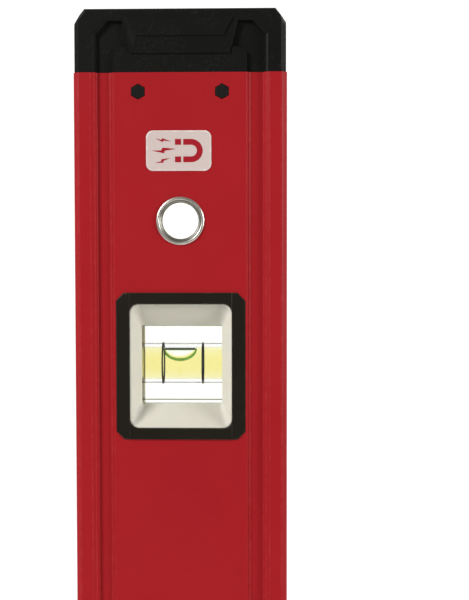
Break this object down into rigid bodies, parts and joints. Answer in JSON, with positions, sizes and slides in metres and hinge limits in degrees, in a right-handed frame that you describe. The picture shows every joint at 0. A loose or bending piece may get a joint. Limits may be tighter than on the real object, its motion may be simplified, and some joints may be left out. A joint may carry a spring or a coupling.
{
  "type": "spirit level",
  "caption": "Box-section spirit level with two plumb vials and a centre vial in framed windows, a lined hang hole, sprung cap studs, soft end caps and a magnetic edge.",
  "frame": {"origin": "middle of the lower end cap's end face, on which the level stands upright", "axes": "+Z along the level towards the end with the hang hole, +X across the face away from the magnetic edge, -Y out of the front face"},
  "size_m": [0.0616, 0.027, 0.6],
  "materials": {
    "red_coat": "satin powder coat",
    "bare_aluminium": "rolled and lightly polished",
    "cup_steel": "plated",
    "magnet_nickel": "nickel plated",
    "label_vinyl": "printed vinyl with a red pictogram",
    "black_soft": "fine matt grain",
    "dark_core": "moulded",
    "spring_steel": "drawn wire",
    "stud_black": "moulded",
    "frame_black": "fine satin texture",
    "pale_plastic": "satin, slightly translucent",
    "clear_acrylic": "polished clear",
    "plug_white": "moulded",
    "ring_black": "printed band",
    "vial_liquid": "yellow-green liquid",
    "bubble_gas": "gas pocket"
  },
  "bodies": {
    "level": {"beam": "red_coat", "hang_eyelet": "bare_aluminium", "magnet_cups": "cup_steel", "magnets": "magnet_nickel", "magnet_label": "label_vinyl", "upper_cap_cover": "black_soft", "upper_cap_plug": "dark_core", "upper_stud_springs": "spring_steel", "lower_cap_cover": "black_soft", "lower_cap_plug": "dark_core", "lower_stud_springs": "spring_steel", "upper_vial_frame_front": "frame_black", "upper_vial_frame_back": "frame_black", "upper_vial_bezel_front": "pale_plastic", "upper_vial_bezel_back": "pale_plastic", "upper_vial_block": "clear_acrylic", "upper_vial_tube": "clear_acrylic", "upper_vial_end_plugs": "plug_white", "upper_vial_rings": "ring_black", "upper_vial_fluid": "vial_liquid", "centre_vial_frame_front": "frame_black", "centre_vial_frame_back": "frame_black", "centre_vial_bezel_front": "pale_plastic", "centre_vial_bezel_back": "pale_plastic", "centre_vial_block": "clear_acrylic", "centre_vial_tube": "clear_acrylic", "centre_vial_end_plugs": "plug_white", "centre_vial_rings": "ring_black", "centre_vial_fluid": "vial_liquid", "lower_vial_frame_front": "frame_black", "lower_vial_frame_back": "frame_black", "lower_vial_bezel_front": "pale_plastic", "lower_vial_bezel_back": "pale_plastic", "lower_vial_block": "clear_acrylic", "lower_vial_tube": "clear_acrylic", "lower_vial_end_plugs": "plug_white", "lower_vial_rings": "ring_black", "lower_vial_fluid": "vial_liquid"},
    "upper_bubble": {"upper_vial_bubble": "bubble_gas"},
    "centre_bubble": {"centre_vial_bubble": "bubble_gas"},
    "lower_bubble": {"lower_vial_bubble": "bubble_gas"},
    "upper_stud_front_left": {"upper_stud_front_left": "stud_black"},
    "upper_stud_front_right": {"upper_stud_front_right": "stud_black"},
    "upper_stud_back_left": {"upper_stud_back_left": "stud_black"},
    "upper_stud_back_right": {"upper_stud_back_right": "stud_black"},
    "lower_stud_front_left": {"lower_stud_front_left": "stud_black"},
    "lower_stud_front_right": {"lower_stud_front_right": "stud_black"},
    "lower_stud_back_left": {"lower_stud_back_left": "stud_black"},
    "lower_stud_back_right": {"lower_stud_back_right": "stud_black"}
  },
  "joints": [
    {"name": "upper_bubble_slide", "type": "slide", "parent": "level", "child": "upper_bubble", "axis": [1, 0, 0], "range_m": [-0.0058, 0.0076], "stiffness_N_per_m": 2, "deforming": ["upper_vial_fluid"]},
    {"name": "centre_bubble_slide", "type": "slide", "parent": "level", "child": "centre_bubble", "axis": [0, 0, 1], "range_m": [-0.0133, 0], "stiffness_N_per_m": 2, "springref_m": 0.05, "deforming": ["centre_vial_fluid"]},
    {"name": "lower_bubble_slide", "type": "slide", "parent": "level", "child": "lower_bubble", "axis": [1, 0, 0], "range_m": [-0.0058, 0.0076], "stiffness_N_per_m": 2, "deforming": ["lower_vial_fluid"]},
    {"name": "upper_stud_front_left_press", "type": "slide", "parent": "level", "child": "upper_stud_front_left", "axis": [0, 1, 0], "range_m": [0, 0.0024], "stiffness_N_per_m": 300, "springref_m": -0.002, "deforming": ["upper_stud_springs"]},
    {"name": "upper_stud_front_right_press", "type": "slide", "parent": "level", "child": "upper_stud_front_right", "axis": [0, 1, 0], "range_m": [0, 0.0024], "stiffness_N_per_m": 300, "springref_m": -0.002, "deforming": ["upper_stud_springs"]},
    {"name": "upper_stud_back_left_press", "type": "slide", "parent": "level", "child": "upper_stud_back_left", "axis": [0, -1, 0], "range_m": [0, 0.0024], "stiffness_N_per_m": 300, "springref_m": -0.002, "deforming": ["upper_stud_springs"]},
    {"name": "upper_stud_back_right_press", "type": "slide", "parent": "level", "child": "upper_stud_back_right", "axis": [0, -1, 0], "range_m": [0, 0.0024], "stiffness_N_per_m": 300, "springref_m": -0.002, "deforming": ["upper_stud_springs"]},
    {"name": "lower_stud_front_left_press", "type": "slide", "parent": "level", "child": "lower_stud_front_left", "axis": [0, 1, 0], "range_m": [0, 0.0024], "stiffness_N_per_m": 300, "springref_m": -0.002, "deforming": ["lower_stud_springs"]},
    {"name": "lower_stud_front_right_press", "type": "slide", "parent": "level", "child": "lower_stud_front_right", "axis": [0, 1, 0], "range_m": [0, 0.0024], "stiffness_N_per_m": 300, "springref_m": -0.002, "deforming": ["lower_stud_springs"]},
    {"name": "lower_stud_back_left_press", "type": "slide", "parent": "level", "child": "lower_stud_back_left", "axis": [0, -1, 0], "range_m": [0, 0.0024], "stiffness_N_per_m": 300, "springref_m": -0.002, "deforming": ["lower_stud_springs"]},
    {"name": "lower_stud_back_right_press", "type": "slide", "parent": "level", "child": "lower_stud_back_right", "axis": [0, -1, 0], "range_m": [0, 0.0024], "stiffness_N_per_m": 300, "springref_m": -0.002, "deforming": ["lower_stud_springs"]}
  ]
}
